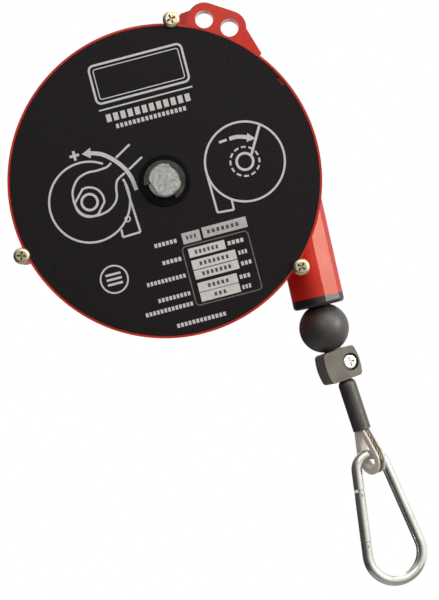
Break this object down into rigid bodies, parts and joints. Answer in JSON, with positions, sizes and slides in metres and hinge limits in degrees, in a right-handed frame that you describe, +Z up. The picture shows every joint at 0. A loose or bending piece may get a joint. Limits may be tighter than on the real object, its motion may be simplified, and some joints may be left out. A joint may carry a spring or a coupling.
{
  "type": "tool balancer",
  "caption": "Spring balancer: round cast housing with a rope drum on a power spring, a guided wire rope with stop ball and clamp, and a snap hook for the tool.",
  "frame": {"origin": "centre of the inner suspension hole in the lug, mid depth", "axes": "+Z up, front cover faces -Y, +X towards the side where the rope leaves; the drum axis is along Y"},
  "size_m": [0.2036, 0.083, 0.3733],
  "materials": {
    "red_paint": "gloss enamel over an aluminium casting",
    "black_plate": "satin black printed plate",
    "black_plastic": "satin moulded plastic",
    "zinc_yellow": "yellow passivated zinc plate",
    "steel": "turned steel, light zinc",
    "zinc_bright": "bright zinc plate",
    "spring_steel": "blued spring steel",
    "drum_alloy": "die cast, turned grooves",
    "bronze": "sintered bronze",
    "wire_rope": "stranded steel rope",
    "rubber_black": "matt moulded rubber",
    "clamp_plastic": "dark grey glass filled plastic",
    "nylon_white": "translucent natural nylon"
  },
  "bodies": {
    "housing": {"housing_body": "red_paint", "cover_disc": "black_plate", "cover_bush": "black_plastic", "cover_screws": "zinc_yellow", "pawl_pin": "steel", "pawl_spring": "spring_steel", "thrust_washer": "bronze", "rope_bush": "black_plastic"},
    "drum": {"rope_drum": "drum_alloy", "rope_anchor_ferrule": "bronze", "spring_case_lid": "steel", "drum_bush": "bronze", "power_spring": "spring_steel", "wound_rope": "wire_rope"},
    "adjuster": {"main_shaft": "steel", "retaining_ring": "steel", "ratchet_wheel": "spring_steel"},
    "pawl_lever": {"pawl": "spring_steel"},
    "rope_end": {"rope_run": "wire_rope", "rope_tail": "wire_rope", "stop_ball": "rubber_black", "clamp_front": "clamp_plastic", "clamp_back": "clamp_plastic", "clamp_screws": "zinc_bright", "clamp_nuts": "zinc_bright", "rope_sleeve": "rubber_black", "crimp_ferrule": "drum_alloy", "thimble": "nylon_white", "rope_eye": "wire_rope"},
    "snap_hook": {"hook_body": "zinc_bright", "gate_rivet": "steel", "catch_pin": "steel"},
    "gate": {"hook_gate": "zinc_bright"}
  },
  "joints": [
    {"name": "drum_spin", "type": "hinge", "parent": "housing", "child": "drum", "pos_m": [-0.04455, 0, -0.09298], "axis": [0, 1, 0], "range_deg": [0, 1882.25], "stiffness_Nm_per_rad": 0.0105, "springref_deg": -7906.82},
    {"name": "rope_pull", "type": "slide", "parent": "housing", "child": "rope_end", "axis": [0, 0, -1], "range_m": [0, 2.5001], "deforming": ["rope_run"]},
    {"name": "adjuster_turn", "type": "hinge", "parent": "housing", "child": "adjuster", "pos_m": [-0.04455, 0, -0.09298], "axis": [0, -1, 0], "range_deg": [-1800, 1800]},
    {"name": "pawl_lift", "type": "hinge", "parent": "housing", "child": "pawl_lever", "pos_m": [-0.00217, -0.0285, -0.07044], "axis": [0, 1, 0], "range_deg": [0, 8], "stiffness_Nm_per_rad": 0.08, "springref_deg": -20.05, "deforming": ["pawl_spring"]},
    {"name": "hook_swing", "type": "hinge", "parent": "rope_end", "child": "snap_hook", "pos_m": [0.03935, -0.00136, -0.28998], "axis": [-0.1736, 0.9848, 0], "range_deg": [-35, 35]},
    {"name": "gate_open", "type": "hinge", "parent": "snap_hook", "child": "gate", "pos_m": [0.02875, -0.00323, -0.30371], "axis": [0.1736, -0.9848, 0], "range_deg": [0, 28], "stiffness_Nm_per_rad": 0.05, "springref_deg": -28.65}
  ],
  "couplings": [
    {"joint": "rope_pull", "follows": "drum_spin", "m_per_rad": 0.0761}
  ]
}
